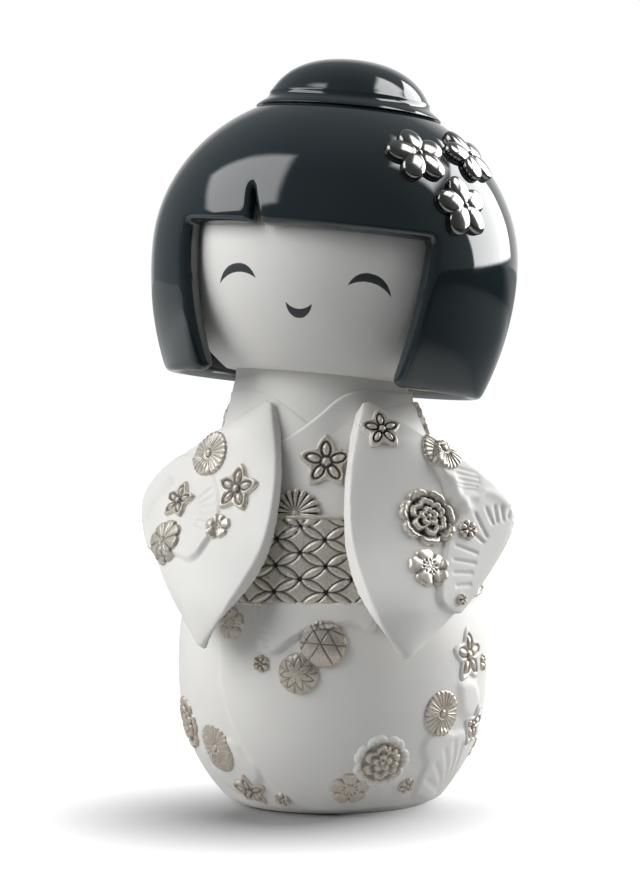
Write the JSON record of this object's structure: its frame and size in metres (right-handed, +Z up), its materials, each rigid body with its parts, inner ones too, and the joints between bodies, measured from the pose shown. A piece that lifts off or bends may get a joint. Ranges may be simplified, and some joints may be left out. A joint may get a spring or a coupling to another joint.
{
  "type": "porcelain kokeshi figurine",
  "caption": "Standing porcelain kokeshi doll with bobbed glazed hair and bun, flowered kimono with folded sleeves, patterned obi and applied silver flowers.",
  "frame": {"origin": "middle of the flat foot, on the surface the figure stands on", "axes": "+Z up, the figure faces -Y, its left arm is at +X"},
  "size_m": [0.0884, 0.0912, 0.1786],
  "materials": {
    "white_bisque": "matte unglazed white porcelain",
    "hair_glaze": "glossy dark slate glaze",
    "silver_lustre": "satin silver lustre with darker recesses",
    "platinum_lustre": "mirror-bright platinum lustre"
  },
  "bodies": {
    "root": {"back_bellflower_left": "silver_lustre", "back_bellflower_right": "silver_lustre", "back_bud": "silver_lustre", "back_chrysanthemum": "silver_lustre", "back_peony": "silver_lustre", "back_plum": "silver_lustre", "back_plum_low": "silver_lustre", "body_casting": "white_bisque", "chest_bellflower": "silver_lustre", "collar_over": "white_bisque", "collar_under": "white_bisque", "hair_back": "hair_glaze", "hair_blossom_back": "platinum_lustre", "hair_blossom_front": "platinum_lustre", "hair_blossom_low": "platinum_lustre", "hair_bun": "hair_glaze", "hair_front": "hair_glaze", "head_casting": "white_bisque", "left_sleeve_bellflower": "silver_lustre", "left_sleeve_bud": "silver_lustre", "left_sleeve_bud_low": "silver_lustre", "left_sleeve_chrysanthemum": "silver_lustre", "left_sleeve_peony": "silver_lustre", "left_sleeve_plum": "silver_lustre", "obi_band": "silver_lustre", "obi_chrysanthemum": "silver_lustre", "obi_knot": "silver_lustre", "right_sleeve_bellflower": "silver_lustre", "right_sleeve_bellflower_small": "silver_lustre", "right_sleeve_chrysanthemum": "silver_lustre", "right_sleeve_cosmos": "silver_lustre", "right_sleeve_plum": "silver_lustre", "shoulder_bellflower_left": "silver_lustre", "shoulder_plum_right": "silver_lustre", "skirt_bellflower_foot_right": "silver_lustre", "skirt_bellflower_left": "silver_lustre", "skirt_bellflower_low_left": "silver_lustre", "skirt_bud_foot_left": "silver_lustre", "skirt_bud_foot_right": "silver_lustre", "skirt_bud_front": "silver_lustre", "skirt_bud_left": "silver_lustre", "skirt_chrysanthemum_left": "silver_lustre", "skirt_chrysanthemum_right": "silver_lustre", "skirt_peony_left": "silver_lustre", "skirt_peony_right": "silver_lustre", "skirt_plum_front": "silver_lustre", "skirt_plum_hip": "silver_lustre", "sleeve_left": "white_bisque", "sleeve_right": "white_bisque", "temari_lower": "silver_lustre", "temari_upper": "silver_lustre"}
  },
  "joints": []
}
